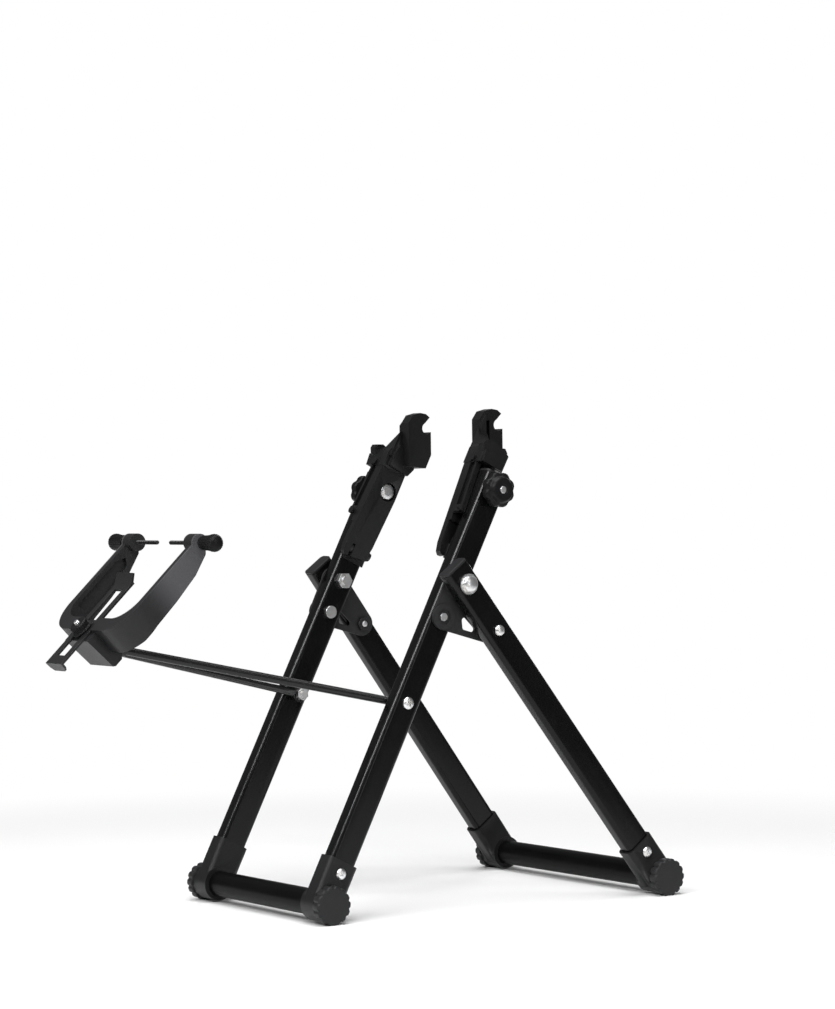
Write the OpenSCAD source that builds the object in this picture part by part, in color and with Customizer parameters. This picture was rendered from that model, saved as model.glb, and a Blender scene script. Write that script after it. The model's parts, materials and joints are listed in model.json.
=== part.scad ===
// Bicycle wheel truing stand, millimetres.
// Two leaning uprights carry a tilting arm each, with a notch for the axle.
// Rear legs fold about the pivot bolts. A gauge with two side feelers and a
// radial slider swings on two rods. +Z is up and the axle runs along Y.

/* [Stance] */
// Height of the axle above the floor
axle_height = 413; // [380:1:440]
// Lean of the uprights from the vertical, degrees
upright_tilt = 27; // [20:0.5:34]
// Lean of the rear legs from the vertical, degrees
leg_tilt = 36.7; // [30:0.1:44]
// Outward splay of the rear legs, degrees
leg_splay = 1.72; // [0.5:0.01:3]
// Distance of each upright's centre from the middle plane
upright_y = 90; // [80:1:110]
// Distance of the axle behind the centre line of the uprights
axle_setback = 2.5; // [0:0.5:6]

/* [Tubes] */
// Depth of the upright and leg tubes, front to back
tube_depth = 25; // [22:0.5:32]
// Width of the upright and leg tubes, side to side
tube_width = 15; // [13:0.5:20]
// Outer corner radius of the tubes
tube_corner = 4; // [2:0.5:6]
// Wall of the upright and leg tubes
tube_wall = 1.5; // [1:0.1:2.5]
// Distance of the upright's upper end below the axle, along the tube
upright_below = 49.7; // [46:0.1:54]
// Diameter of the two crossbars
crossbar_d = 22; // [16:0.5:26]
// Wall of the crossbars
crossbar_wall = 1.5; // [1:0.1:2.5]

/* [Feet] */
// Radius of the foot caps
foot_r = 16.4; // [14:0.1:20]
// Depth of the flat under each foot cap
foot_flat = 0.4; // [0.2:0.1:1]
// Width of a foot cap outside its seam
foot_width = 8.8; // [6:0.1:14]
// Width of the groove between a foot cap and its corner piece
foot_seam = 1.2; // [0.6:0.1:2]
// Radius at the bottom of that groove
foot_seam_r = 13.8; // [11:0.1:14.5]
// Number of scallops around a foot cap
scallops = 14; // [8:1:20]
// Depth of a scallop
scallop_depth = 1.3; // [0.3:0.1:1.6]
// Radius of a scallop
scallop_r = 2.4; // [1.5:0.1:3]
// Radius of the stem that holds a foot cap
foot_stem_r = 8; // [5:0.5:10]
// Length of that stem
foot_stem = 8; // [5:0.5:12]

/* [Corner pieces] */
// Wall of the sleeve around a tube
sleeve_wall = 2.2; // [1.8:0.1:4]
// Distance of the sleeve's rim from the foot axis
sleeve_top = 38; // [34:1:60]
// Distance of the tube's lower end from the foot axis
tube_seat = 12.5; // [12:0.5:16]
// Reach of the corner barrel inward of its sleeve
barrel_inward = 0.8; // [0.6:0.1:4]
// Reach of the corner barrel outward of its sleeve
barrel_outward = 0.3; // [0.1:0.1:3]
// Length of the spigot inside a crossbar
spigot_length = 18; // [10:1:40]
// Distance of the front corner screw from the foot axis
front_screw_up = 27.5; // [22:0.5:36]
// Distance of the rear corner screw from the foot axis
rear_screw_up = 28; // [22:0.5:36]
// Radius of a corner screw's head
corner_screw_head_r = 4.6; // [4:0.1:7]
// Height of a corner screw's head
corner_screw_head_h = 2.6; // [1.5:0.1:4]
// Radius of a corner screw's shank
corner_screw_r = 2; // [1.5:0.1:3]
// Length of a corner screw's shank
corner_screw_length = 9.5; // [8:0.5:12]

/* [Leg hinge] */
// Distance of the leg pivot below the upright's upper end
pivot_below = 104; // [100:1:112]
// Distance of the lower plate bolt below the pivot
plate_bolt_down = 31; // [28:0.5:36]
// Distance of the lock bolt below the pivot, along the leg
lock_down = 50; // [44:1:60]
// Length of the leg above the pivot
leg_above = 18.5; // [16:0.5:32]
// Thickness of the hinge plate's web
plate_web = 1.6; // [1:0.1:2.2]
// Thickness of the hinge plate at its bosses
plate_boss = 2.6; // [2.3:0.1:3]
// Radius of the plate's boss at the pivot
plate_pivot_r = 12; // [10:0.5:14]
// Radius of the plate's boss at the lower bolt
plate_bolt_boss_r = 11; // [9:0.5:12]
// Radius of the plate's boss at the lock bolt
plate_lock_r = 11; // [9:0.5:13]
// Corner radius of the window in the plate
window_r = 2.5; // [1:0.5:4]
// Gap between an upright and its hinge plate
plate_gap = 0.2; // [0.1:0.05:0.5]
// Gap between the hinge plate and its leg at the pivot
leg_gap = 0.8; // [0.7:0.1:1.5]
// Radius of the pivot bolt's shank
pivot_r = 4; // [3:0.1:5]
// Radius of the pivot bolt's flange
pivot_flange_r = 8.75; // [7:0.1:10]
// Thickness of that flange
pivot_flange_h = 1.6; // [1:0.1:3]
// Width across the flats of the pivot bolt's head
pivot_head_af = 13; // [10:0.5:14]
// Height of the pivot bolt's head over its flange
pivot_head_h = 4; // [3:0.5:7]
// Height of the pivot nut
pivot_nut_h = 5; // [4:0.5:8]
// Radius of the plate bolt's shank
plate_bolt_r = 3.5; // [3:0.1:4.5]
// Radius of the plate bolt's head
plate_bolt_head_r = 5.6; // [5:0.1:7]
// Height of the plate bolt's head
plate_bolt_head_h = 3; // [2:0.1:4]
// Radius of the recess around the end of the plate bolt
plate_recess_r = 6.5; // [5:0.1:8]
// Radius of the lock bolt's shank
lock_r = 3; // [2:0.1:3.5]
// Radius of the lock bolt's head
lock_head_r = 4.7; // [4.2:0.1:7]
// Height of the lock bolt's head
lock_head_h = 3.4; // [2:0.1:5]
// Width across the flats of the lock nut
lock_nut_af = 11; // [9.5:0.5:13]
// Height of the lock nut
lock_nut_h = 4; // [3:0.5:6]
// Thickness of the caps on the leg and upright ends
cap_thick = 2.4; // [1.5:0.1:3.4]
// Length of the plugs on those caps inside the tubes
plug_length = 8; // [6:0.5:9]

/* [Axle arms] */
// Inward lean of an arm at rest, degrees
arm_tilt = 6; // [4:0.5:8]
// Distance of the arm's hinge below the upright's upper end
arm_hinge_down = 75; // [72:0.5:79]
// Distance of the arm's hinge pin from the upright's inner face
arm_pin_in = 5.5; // [5:0.1:7]
// Radius of the arm's hinge pin
arm_pin_r = 1.5; // [1:0.1:2]
// Thickness of an arm inward of its pin
arm_skin = 4; // [3:0.1:6]
// Distance of the arm's front face from the upright's centre line
arm_front = 17.5; // [16.8:0.1:20]
// Distance of the arm's rear face from the upright's centre line
arm_rear = 10; // [8:0.5:12]
// Reach of the arm's front flange outward of the pin
flange_out = 15; // [10:0.5:17]
// Height of the flange's lower edge above the pin
flange_low = 31; // [24:1:40]
// Reach of the arm's web above the upright's upper end
web_over = 11; // [8:0.5:14]
// Width of the groove in the flange
flange_groove = 6.4; // [2:0.1:8]
// Depth of that groove
flange_groove_deep = 3; // [1:0.1:3]
// Running gap between an arm and its upright
arm_gap = 0.4; // [0.3:0.05:1]
// Inner face of the arm's head, from the middle plane
head_in = 50; // [46:0.5:56]
// Thickness of the arm's head
head_thick = 12; // [8:0.5:16]
// Radius of the axle notch
notch_r = 5.2; // [4.5:0.1:6.5]
// Direction of the notch from the vertical, degrees
notch_lean = 45; // [20:1:60]

/* [Width bolts and knobs] */
// Distance of the width bolt below the upright's upper end
knob_down = 15; // [14:0.5:24]
// Radius of the width bolt
width_bolt_r = 3.4; // [2.5:0.1:4]
// Radius of the width bolt's head
width_head_r = 7.6; // [5:0.1:8]
// Height of the width bolt's head
width_head_h = 3; // [2:0.1:4]
// Room around that head in its pocket
width_head_room = 0.8; // [0.5:0.1:1]
// Distance of that pocket's floor outward of the hinge pin
pocket_floor = 1; // [-1:0.5:2]
// Number of lobes on the width knob
knob_lobes = 8; // [5:1:10]
// Radius over the lobes
knob_r = 15.4; // [14:0.1:18]
// Radius of a lobe
knob_lobe_r = 4.4; // [3:0.1:5]
// Height of a lobe over the round rim
knob_lobe_h = 1.4; // [1:0.1:2]
// Radius of the width knob's raised face
knob_face_r = 11; // [9:0.1:12]
// Height of that face over the lobed rim
knob_face_h = 4; // [1:0.5:6]
// Length of the width knob
knob_length = 15; // [12:0.5:20]
// Length and setback of the knob's boss next to the tube
knob_boss = 3; // [2:0.5:5]

/* [Gauge] */
// Distance of the gauge's pivot below the upright's upper end
gauge_below = 215; // [200:1:226]
// Radius of the gauge rods
rod_r = 3.5; // [2.5:0.1:4.5]
// Radius of the eye on a rod
rod_eye_r = 7.5; // [6.5:0.1:9]
// Reach of the rods from the pivot, seen from the side
rod_reach = 241; // [230:0.5:250]
// Rise of the rods from the horizontal, degrees
rod_rise = 12.64; // [5:0.01:20]
// Distance of a rod's front end from the middle plane
rod_end_y = 11.5; // [9:0.5:14]
// Radius of the gauge pivot bolts
rod_bolt_r = 3; // [2:0.1:4]
// Radius of those bolts' heads
rod_bolt_head_r = 5.2; // [4.5:0.1:7]
// Height of those bolts' heads
rod_bolt_head_h = 3; // [2:0.1:4]
// Width across the flats of their nuts
rod_nut_af = 10; // [9:0.5:12]
// Height of their nuts
rod_nut_h = 4.6; // [3:0.1:6]
// Rise of the fork's upper edge from the horizontal, degrees
fork_rise = 44; // [38:0.5:50]
// Half width over the fork's arms
fork_half = 61; // [58:0.5:65]
// Thickness of the fork's arms
fork_wall = 7; // [6:0.5:9]
// Thickness of the fork's back
fork_back = 14; // [10:0.5:18]
// Outer corner radius of the fork
fork_corner = 30; // [22:0.5:34]
// Depth of the channel inside each arm
fork_channel = 3.4; // [2:0.1:4]
// Distance of the feeler axis from the fork's root, along the arms
feeler_out = 90.6; // [86:0.2:96]
// Distance of the feeler axis below the fork's upper edge
feeler_down = 4; // [2:0.5:6]
// Radius of the feeler bosses
feeler_boss_r = 7.5; // [6:0.1:9]
// Inner face of a feeler boss, from the middle plane
feeler_boss_in = 46; // [42:0.5:48]
// Half width of the block under the fork
block_half = 20; // [17:0.5:24]

/* [Feelers] */
// Radius of the feeler screws
feeler_r = 1.8; // [1.2:0.1:2.5]
// Distance of a feeler's tip from the middle plane
feeler_tip = 10; // [8:0.5:20]
// Radius of a feeler knob
feeler_knob_r = 7.4; // [6:0.1:8]
// Inner end of a feeler knob, from the middle plane
feeler_knob_in = 66.5; // [66.5:0.5:70]
// Length of a feeler knob
feeler_knob_length = 23.5; // [18:0.5:28]
// Half width of the slider
slider_half = 14; // [12:0.5:15]
// Thickness of the slider
slider_thick = 2; // [1.5:0.1:3]
// Half width of the slider's slot
slot_half = 7; // [5:0.5:8]
// Width of the bar left at each end of the slot
slot_end = 9.5; // [6:0.5:12]
// Reach of the slider's lower end from the fork's root
slider_low = 51.5; // [48:0.5:56]
// Reach of the slider's upper end from the fork's root
slider_high = 42; // [38:0.5:46]
// Depth of the lip on the slider's lower end
slider_lip = 7; // [4:0.5:10]
// Height of the nose on the slider's upper end
slider_nose = 6; // [3:0.5:8]
// Distance of the slider's clamp bolt from the fork's root
clamp_back = 13; // [11:0.5:16]
// Radius of the clamp bolt
clamp_r = 2.5; // [2:0.1:3]
// Radius of the clamp knob
clamp_knob_r = 8.2; // [7.5:0.1:10]
// Height of the clamp knob
clamp_knob_h = 7.6; // [5:0.1:10]

/* [Hidden] */
$fn = 64;

// Clearances
fit = 0.05;            // close running fit, on the radius
loose = 0.3;           // gap between pieces that only pass each other
socket_gap = 0.1;      // gap around a tube in its sleeve
eps = 0.01;            // overlap that joins two shapes of one piece
tuck = 0.05;           // how far a straight side lies inside the discs that it joins

// Heights and places in the side view, from the floor
foot_z = foot_r - foot_flat;
upright_rise = axle_height - foot_z;
axle_from_foot = upright_rise * tan(upright_tilt) + axle_setback;
axle_along = upright_rise / cos(upright_tilt) + axle_setback * sin(upright_tilt);
upright_length = axle_along - upright_below;
arm_hinge_up = upright_length - arm_hinge_down;
knob_up = upright_length - knob_down;
pivot_up = upright_length - pivot_below;
gauge_up = upright_length - gauge_below;
pivot_from_foot = pivot_up * sin(upright_tilt);
pivot_z = foot_z + pivot_up * cos(upright_tilt);
leg_length = (pivot_z - foot_z) / (cos(leg_tilt) * cos(leg_splay));
leg_back = leg_length * sin(leg_tilt) * cos(leg_splay);
gauge_from_foot = gauge_up * sin(upright_tilt);
gauge_z = foot_z + gauge_up * cos(upright_tilt);

// Root of the fork's upper edge, forward of and above the gauge's pivot
root_back = 9.64;      // distance of the root ahead of the rods' nominal ends
root_above = 25.06;    // height of the root over those ends
root_forward = rod_reach * cos(rod_rise) + root_back;
root_rise = rod_reach * sin(rod_rise) + root_above;
slider_top = -1;
slider_reach = slider_low * cos(fork_rise) + slider_top * sin(fork_rise);
front_reach = root_forward - gauge_from_foot + slider_reach;
rear_reach = pivot_from_foot + leg_back + foot_r;

// The origin is below the middle of the stand
front_x = (front_reach - rear_reach) / 2;
axle_x = front_x + axle_from_foot;
pivot_x = front_x + pivot_from_foot;
rear_x = pivot_x + leg_back;
gauge_x = front_x + gauge_from_foot;

// Layers across the hinge, as distances from the middle plane
tube_in = upright_y - tube_width / 2;
tube_out = upright_y + tube_width / 2;
plate_y = tube_out + plate_gap;
plate_top = plate_y + plate_boss;
leg_y = plate_top + leg_gap + tube_width / 2;
leg_out = leg_y + tube_width / 2;
rear_y = leg_y + leg_length * sin(leg_splay);

// Corner pieces and crossbars
barrel_r = tube_depth / 2 + sleeve_wall;
sleeve_width = tube_width + 2 * sleeve_wall;
barrel_in = sleeve_width / 2 + barrel_inward;
barrel_out = sleeve_width / 2 + barrel_outward;
sleeve_corner = tube_corner + sleeve_wall / 2;
crossbar_r = crossbar_d / 2;
spigot_r = crossbar_r - crossbar_wall - socket_gap;
front_bar = 2 * (upright_y - barrel_in);
rear_bar = 2 * (rear_y - barrel_in);

// Hinge plate, in the side view from the pivot
plate_low = [-plate_bolt_down * sin(upright_tilt), -plate_bolt_down * cos(upright_tilt)];
plate_lock = [lock_down * sin(leg_tilt), -lock_down * cos(leg_tilt)];
window_points = [[7, -31.5], [7.5, -37], [14.5, -39]];

// Axle arms
pin_y = tube_in - arm_pin_in;
web_out = arm_pin_in - arm_gap;
ear_thick = 2.6;
ear_r = 4;
ear_front = -7.5;
saddle_thick = 1.8;
saddle_half = 10;
saddle_stud_r = 2;
saddle_stud_up = 7;
lug_relief = arm_pin_in - saddle_thick - 1.1;
knob_above_pin = arm_hinge_down - knob_down;
web_top = arm_hinge_down + web_over;
notch_mouth = notch_r - 0.3;
width_pocket_r = width_head_r + width_head_room;
collar_low = upright_length + 4;
recess_wide = 5.2;
recess_deep = 4;

// Gauge
eye_out = tube_in - loose;
eye_thick = 2 * rod_r;
eye_y = eye_out - rod_r;
rod_nut_r = rod_nut_af / 2 / cos(30);
fork_depth = 26;
slider_bed = slider_top - slider_thick;
feeler_boss_out = fork_half;
collar_r = 5.4;
collar_length = 4;
collar_from_end = 13.6;
rod_seat = 8;
rod_side = atan2(eye_y - rod_end_y, rod_reach);
rod_length = norm([rod_reach, eye_y - rod_end_y]) + rod_seat;
block_face = 24;
block_deep = 36;

// ---- helpers ----

// Cylinder along Y between two distances from the middle plane
module cyl_y(r, y0, y1) {
    translate([0, y1, 0]) rotate([90, 0, 0]) cylinder(r = r, h = y1 - y0);
}

// Hexagonal prism along Y between two distances from the middle plane
module hex_y(af, y0, y1) {
    translate([0, y1, 0]) rotate([90, 0, 0]) cylinder(r = af / 2 / cos(30), h = y1 - y0, $fn = 6);
}

// Flat outline in the side view, thickened between two distances
module slab_y(y0, y1) {
    translate([0, y1, 0]) rotate([90, 0, 0]) linear_extrude(y1 - y0) children();
}

// Rounded rectangle about its centre
module rounded_rect(a, b, r) {
    square([a - 2 * r, b], center = true);
    square([a, b - 2 * r], center = true);
    for (x = [-1, 1], y = [-1, 1])
        translate([x * (a / 2 - r), y * (b / 2 - r)]) circle(r);
}

// Points where the outer tangents touch two circles
function tangents(p, r, q, s) =
    let (
        d = norm(q - p),
        a = atan2(q[1] - p[1], q[0] - p[0]),
        b = acos((r - s) / d)
    )
    [
        p + r * [cos(a + b), sin(a + b)],
        q + s * [cos(a + b), sin(a + b)],
        q + s * [cos(a - b), sin(a - b)],
        p + r * [cos(a - b), sin(a - b)]
    ];

// Outline of three discs with the sheet between them
module three_discs(p, r) {
    polygon(p);
    for (i = [0:2]) {
        translate(p[i]) circle(r[i]);
        polygon(tangents(p[i], r[i] - tuck, p[(i + 1) % 3], r[(i + 1) % 3] - tuck));
    }
}

// Length of tube standing on the XY plane
module tube(length) {
    linear_extrude(length) difference() {
        rounded_rect(tube_depth, tube_width, tube_corner);
        rounded_rect(
            tube_depth - 2 * tube_wall,
            tube_width - 2 * tube_wall,
            tube_corner - tube_wall
        );
    }
}

// The left side as drawn, or its mirror image for the right side
module side(left) {
    if (left) children();
    else mirror([0, 1, 0]) children();
}

// Frame of an upright, Z along the tube from the foot axis and Y from the middle plane
module on_upright(up = 0) {
    translate([front_x, 0, foot_z]) rotate([0, upright_tilt, 0]) translate([0, 0, up]) children();
}

// Frame of a leg, Z along the tube and up, from the foot axis at the tube's centre
module on_leg(up = 0) {
    translate([rear_x, rear_y, foot_z]) rotate([0, -leg_tilt, 0]) rotate([leg_splay, 0, 0])
        translate([0, 0, up]) children();
}

// Frame at the leg pivot, in line with the stand
module at_pivot() {
    translate([pivot_x, 0, pivot_z]) children();
}

// Frame of an arm at rest, Z along the arm from its hinge pin
module on_arm() {
    on_upright(arm_hinge_up) translate([0, pin_y, 0]) rotate([arm_tilt, 0, 0]) children();
}

// Frame of the fork, X along its arms from the root and Z square to them
module on_fork() {
    translate([gauge_x - root_forward, 0, gauge_z + root_rise]) rotate([0, -fork_rise, 0]) children();
}

// Frame at the gauge's pivot, in line with the stand
module at_gauge() {
    translate([gauge_x, 0, gauge_z]) children();
}

// ---- tubes ----

module upright() {
    color("#1b1b1d") difference() {
        on_upright(tube_seat) translate([0, upright_y, 0])
            tube(upright_length - cap_thick - tube_seat);
        on_upright(front_screw_up) cyl_y(corner_screw_r + fit, upright_y, tube_out + 1);
        on_upright(gauge_up) cyl_y(rod_bolt_r + fit, tube_in - 1, tube_out + 1);
        on_upright(pivot_up - plate_bolt_down) cyl_y(plate_bolt_r + fit, tube_in - 1, tube_out + 1);
        on_upright(pivot_up) cyl_y(pivot_r + fit, tube_in - 1, tube_out + 1);
        on_upright(knob_up) cyl_y(width_bolt_r + fit, tube_in - 1, tube_out + 1);
        for (s = [-1, 1])
            on_upright(arm_hinge_up + s * saddle_stud_up)
                cyl_y(saddle_stud_r + fit, tube_in - 1, upright_y);
    }
}

// Cap with a plug inside the end of a tube, standing on the XY plane
module end_cap() {
    linear_extrude(cap_thick) rounded_rect(tube_depth, tube_width, tube_corner);
    translate([0, 0, -plug_length]) linear_extrude(plug_length + eps) rounded_rect(
        tube_depth - 2 * tube_wall - 2 * socket_gap,
        tube_width - 2 * tube_wall - 2 * socket_gap,
        tube_corner - tube_wall
    );
}

module upright_plug() {
    color("#3a3a3d")
        on_upright(upright_length - cap_thick) translate([0, upright_y, 0]) end_cap();
}

module leg() {
    color("#1b1b1d") difference() {
        on_leg(tube_seat) tube(leg_length + leg_above - cap_thick - tube_seat);
        at_pivot() cyl_y(pivot_r + fit, plate_top, leg_out + 2);
        at_pivot() translate([plate_lock[0], 0, plate_lock[1]])
            cyl_y(lock_r + fit, plate_top, leg_out + 4);
        on_leg(rear_screw_up) cyl_y(corner_screw_r + fit, 0, tube_width);
    }
}

module leg_cap() {
    color("#4a4a4d") on_leg(leg_length + leg_above - cap_thick) end_cap();
}

module crossbar(length) {
    color("#1b1b1d") difference() {
        cyl_y(crossbar_r, -length / 2, length / 2);
        cyl_y(crossbar_r - crossbar_wall, -length / 2 - 1, length / 2 + 1);
    }
}

// ---- corner pieces, feet and their screws ----

// Sleeve of a corner piece about the tube's axis
module sleeve() {
    linear_extrude(sleeve_top) rounded_rect(2 * barrel_r, sleeve_width, sleeve_corner);
}

// Space that a corner piece leaves for its tube
module tube_socket() {
    translate([0, 0, tube_seat]) linear_extrude(sleeve_top) rounded_rect(
        tube_depth + 2 * socket_gap,
        tube_width + 2 * socket_gap,
        tube_corner + socket_gap
    );
}

// Barrel of a corner piece with its spigot for the crossbar
module barrel() {
    cyl_y(barrel_r, -barrel_in, barrel_out);
    cyl_y(spigot_r, -barrel_in - spigot_length, -barrel_in + eps);
}

module front_corner() {
    color("#37373a") difference() {
        union() {
            on_upright() translate([0, upright_y, 0]) sleeve();
            translate([front_x, upright_y, foot_z]) barrel();
        }
        on_upright() translate([0, upright_y, 0]) tube_socket();
        on_upright(front_screw_up) cyl_y(corner_screw_r + fit, upright_y, upright_y + sleeve_width);
        translate([front_x, upright_y, foot_z])
            cyl_y(foot_stem_r + socket_gap, barrel_out - foot_stem - loose, barrel_out + 1);
        translate([front_x - foot_r * 2, 0, -foot_r]) cube([foot_r * 4, upright_y * 2, foot_r]);
    }
}

module rear_corner() {
    color("#37373a") difference() {
        union() {
            on_leg() sleeve();
            translate([rear_x, rear_y, foot_z]) barrel();
        }
        on_leg() tube_socket();
        on_leg(rear_screw_up) cyl_y(corner_screw_r + fit, 0, sleeve_width);
        translate([rear_x, rear_y, foot_z])
            cyl_y(foot_stem_r + socket_gap, barrel_out - foot_stem - loose, barrel_out + 1);
        translate([rear_x - foot_r * 2, 0, -foot_r]) cube([foot_r * 4, rear_y * 2, foot_r]);
    }
}

// Foot cap about Y, its seam on the XZ plane
module foot_cap() {
    round_edge = foot_r - 3;
    difference() {
        rotate([-90, 0, 0]) rotate_extrude() polygon([
            [0, -foot_stem],
            [foot_stem_r, -foot_stem],
            [foot_stem_r, 0],
            [foot_seam_r, 0],
            [foot_seam_r, foot_seam],
            [foot_r, foot_seam + 0.4],
            [foot_r, foot_seam + foot_width - 2.2],
            [foot_r - 0.8, foot_seam + foot_width - 0.9],
            [round_edge, foot_seam + foot_width - 0.2],
            [0, foot_seam + foot_width]
        ]);
        for (i = [1:scallops - 1])
            rotate([0, i * 360 / scallops, 0])
                translate([0, 0, -foot_r - scallop_r + scallop_depth])
                    cyl_y(scallop_r, foot_seam / 2, foot_width + 2 * foot_seam);
        translate([-foot_r, -foot_stem - 1, -foot_r - 1])
            cube([2 * foot_r, foot_stem + foot_width + foot_seam + 2, 1 + foot_flat]);
    }
}

module front_foot() {
    color("#2c2c2f") translate([front_x, upright_y + barrel_out, foot_z]) foot_cap();
}

module rear_foot() {
    color("#2c2c2f") translate([rear_x, rear_y + barrel_out, foot_z]) foot_cap();
}

// Domed disc on the XZ plane, its round side towards +Y
module dome(r, h) {
    rotate([-90, 0, 0]) rotate_extrude() polygon([
        [0, 0],
        [r, 0],
        [r, h * 0.4],
        [r * 0.86, h * 0.78],
        [r * 0.5, h],
        [0, h]
    ]);
}

// Pan head screw with a cross recess along Y, the underside of its head on the XZ plane
module pan_screw(r, length, head_r, head_h) {
    difference() {
        rotate([-90, 0, 0]) rotate_extrude() polygon([
            [0, -length],
            [r * 0.5, -length],
            [r, -length + r],
            [r, 0],
            [head_r, 0],
            [head_r, head_h * 0.45],
            [head_r * 0.8, head_h * 0.85],
            [head_r * 0.45, head_h],
            [0, head_h]
        ]);
        for (a = [0, 90])
            rotate([0, a, 0]) translate([-head_r * 0.5, head_h * 0.45, -head_r * 0.1])
                cube([head_r, head_h, head_r * 0.2]);
    }
}

module corner_screw() {
    pan_screw(corner_screw_r, corner_screw_length, corner_screw_head_r, corner_screw_head_h);
}

module front_corner_screws() {
    color("#c9cbce") for (left = [true, false])
        side(left) on_upright(front_screw_up) translate([0, upright_y + sleeve_width / 2, 0])
            corner_screw();
}

module rear_corner_screws() {
    color("#c9cbce") for (left = [true, false])
        side(left) on_leg(rear_screw_up) translate([0, sleeve_width / 2, 0]) corner_screw();
}

// ---- leg hinge ----

module hinge_plate() {
    spots = [[0, 0], plate_low, plate_lock];
    color("#5a5a5e") at_pivot() difference() {
        union() {
            slab_y(plate_y, plate_y + plate_web)
                three_discs(spots, [plate_pivot_r, plate_bolt_boss_r, plate_lock_r]);
            cyl_y(plate_pivot_r, plate_y, plate_top);
            translate([plate_low[0], 0, plate_low[1]]) cyl_y(plate_bolt_boss_r, plate_y, plate_top);
            translate([plate_lock[0], 0, plate_lock[1]]) cyl_y(plate_lock_r, plate_y, plate_top);
        }
        slab_y(plate_y - 1, plate_top + 1) three_discs(window_points, [window_r, window_r, window_r]);
        cyl_y(pivot_r + fit, plate_y - 1, plate_top + 1);
        translate([plate_low[0], 0, plate_low[1]]) {
            cyl_y(plate_bolt_r + fit, plate_y - 1, plate_top + 1);
            cyl_y(plate_recess_r, plate_y + plate_web - 0.4, plate_top + 1);
        }
        translate([plate_lock[0], 0, plate_lock[1]])
            cyl_y(lock_r + 1 + fit, plate_y - 1, plate_top + 1);
    }
}

module pivot_bolts() {
    head_y = leg_out + 0.35;
    color("#c9cbce") for (left = [true, false])
        side(left) at_pivot() {
            cyl_y(pivot_r, tube_in - pivot_nut_h - 2, head_y + eps);
            cyl_y(pivot_flange_r, head_y, head_y + pivot_flange_h);
            intersection() {
                hex_y(pivot_head_af, head_y, head_y + pivot_flange_h + pivot_head_h);
                translate([0, head_y + eps, 0])
                    dome(pivot_head_af * 0.56, pivot_flange_h + pivot_head_h);
            }
        }
}

module pivot_nuts() {
    color("#c9cbce") for (left = [true, false])
        side(left) at_pivot() difference() {
            hex_y(pivot_head_af, tube_in - pivot_nut_h, tube_in);
            cyl_y(pivot_r + fit, tube_in - pivot_nut_h - 1, tube_in + 1);
        }
}

module plate_bolts() {
    color("#c9cbce") for (left = [true, false])
        side(left) at_pivot() translate([plate_low[0], 0, plate_low[1]]) {
            cyl_y(plate_bolt_r, tube_in - eps, plate_top);
            cyl_y(plate_bolt_head_r, tube_in - plate_bolt_head_h, tube_in);
        }
}

module lock_bolts() {
    head_y = leg_out + lock_down * sin(leg_splay) + 0.35;
    color("#c9cbce") for (left = [true, false])
        side(left) at_pivot() translate([plate_lock[0], 0, plate_lock[1]]) {
            cyl_y(lock_r, plate_top + loose, head_y + eps);
            translate([0, head_y, 0]) dome(lock_head_r, lock_head_h);
        }
}

module lock_nuts() {
    color("#2b2b2d") for (left = [true, false])
        side(left) at_pivot() translate([plate_lock[0], 0, plate_lock[1]]) difference() {
            union() {
                hex_y(lock_nut_af, plate_y - lock_nut_h, plate_y);
                cyl_y(lock_r + 1, plate_y - eps, plate_y + plate_web);
            }
            cyl_y(lock_r + fit, plate_y - lock_nut_h * 0.6, plate_top);
        }
}

// ---- axle arms ----

// Bracket with two ears on the inner face of an upright
module arm_saddle() {
    color("#6b6b70") on_upright(arm_hinge_up) {
        difference() {
            union() {
                translate([-saddle_half, tube_in - saddle_thick, -saddle_half])
                    cube([saddle_half + tube_depth / 2, saddle_thick, 2 * saddle_half]);
                for (x = [ear_front - ear_thick, tube_depth / 2 - ear_thick]) {
                    translate([x, pin_y, -ear_r]) cube([ear_thick, tube_in - pin_y, 2 * ear_r]);
                    translate([x, pin_y, 0]) rotate([0, 90, 0]) cylinder(r = ear_r, h = ear_thick);
                }
            }
            translate([-saddle_half - 1, pin_y, 0]) rotate([0, 90, 0])
                cylinder(r = arm_pin_r + fit, h = 2 * tube_depth);
        }
        for (s = [-1, 1])
            translate([0, 0, s * saddle_stud_up])
                cyl_y(saddle_stud_r, tube_in - eps, tube_in + tube_wall + 1);
    }
}

module arm_pins() {
    color("#c9cbce") for (left = [true, false])
        side(left) on_upright(arm_hinge_up)
            translate([ear_front - ear_thick, pin_y, 0]) rotate([0, 90, 0])
                cylinder(r = arm_pin_r, h = tube_depth / 2 - ear_front + ear_thick);
}

// Outline of an arm's web in the side view, from the hinge pin
module web_outline() {
    polygon([
        [-arm_front + 1.5, -6],
        [-arm_front + 4, -8.5],
        [tube_depth / 2 - ear_thick - loose, -5],
        [tube_depth / 2 - ear_thick - loose, ear_r + 1],
        [arm_rear, ear_r + 4],
        [arm_rear, web_top - 30],
        [arm_rear - 2, web_top],
        [-arm_front + 1, web_top],
        [-arm_front, web_top - 4],
        [-arm_front, 2]
    ]);
}

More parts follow.
